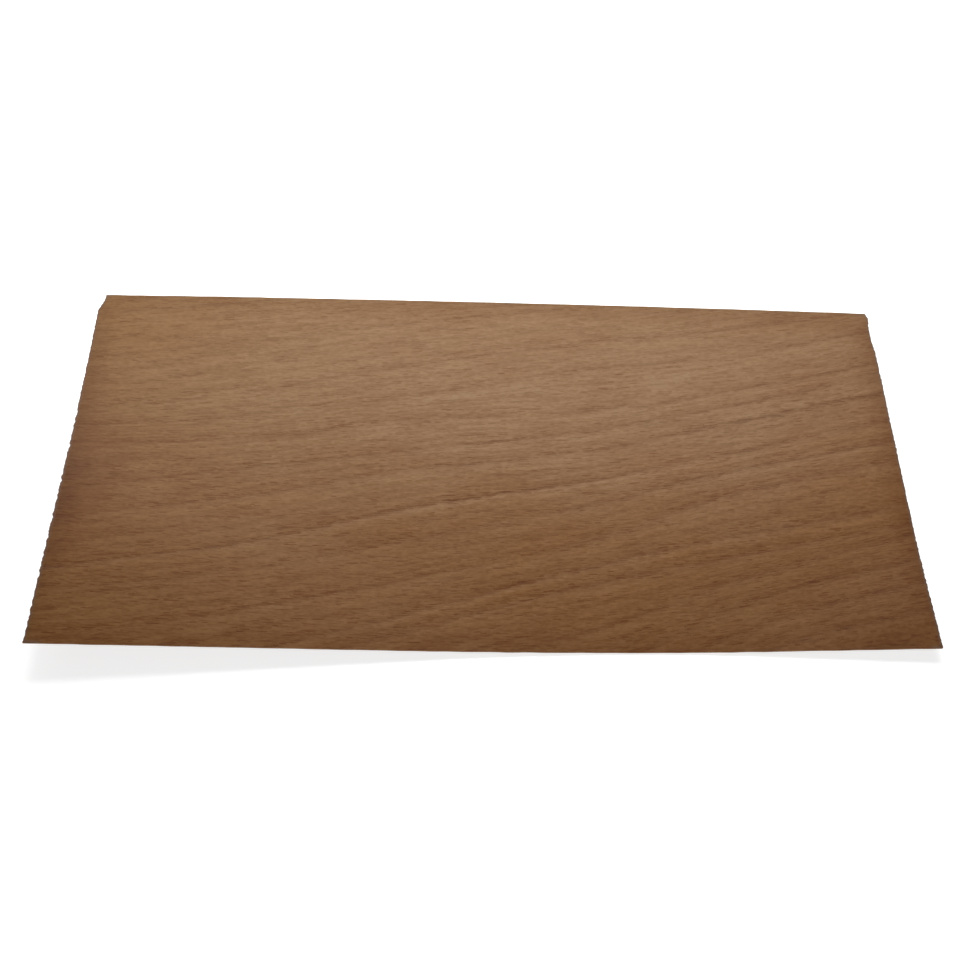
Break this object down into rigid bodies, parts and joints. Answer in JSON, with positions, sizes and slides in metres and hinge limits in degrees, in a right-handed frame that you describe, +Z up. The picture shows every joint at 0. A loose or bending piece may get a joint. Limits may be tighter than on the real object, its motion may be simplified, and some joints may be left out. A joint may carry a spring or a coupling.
{
  "type": "wood veneer sheet",
  "caption": "Thin rectangular sheet of brown oak-like wood veneer, grain along its length, with ragged ends and gently curled front corners.",
  "frame": {"origin": "centre of the sheet's outline, in the plane of its flat underside where it lies on the floor", "axes": "+X along the grain towards the narrower end, +Y from the front edge to the back edge, +Z up out of the good face"},
  "size_m": [0.3016, 0.15, 0.0093],
  "materials": {
    "veneer": "raw matt brown oak-like veneer, unsealed, with open pores and dark growth lines along its length"
  },
  "bodies": {
    "root": {"veneer_sheet": "veneer"}
  },
  "joints": []
}
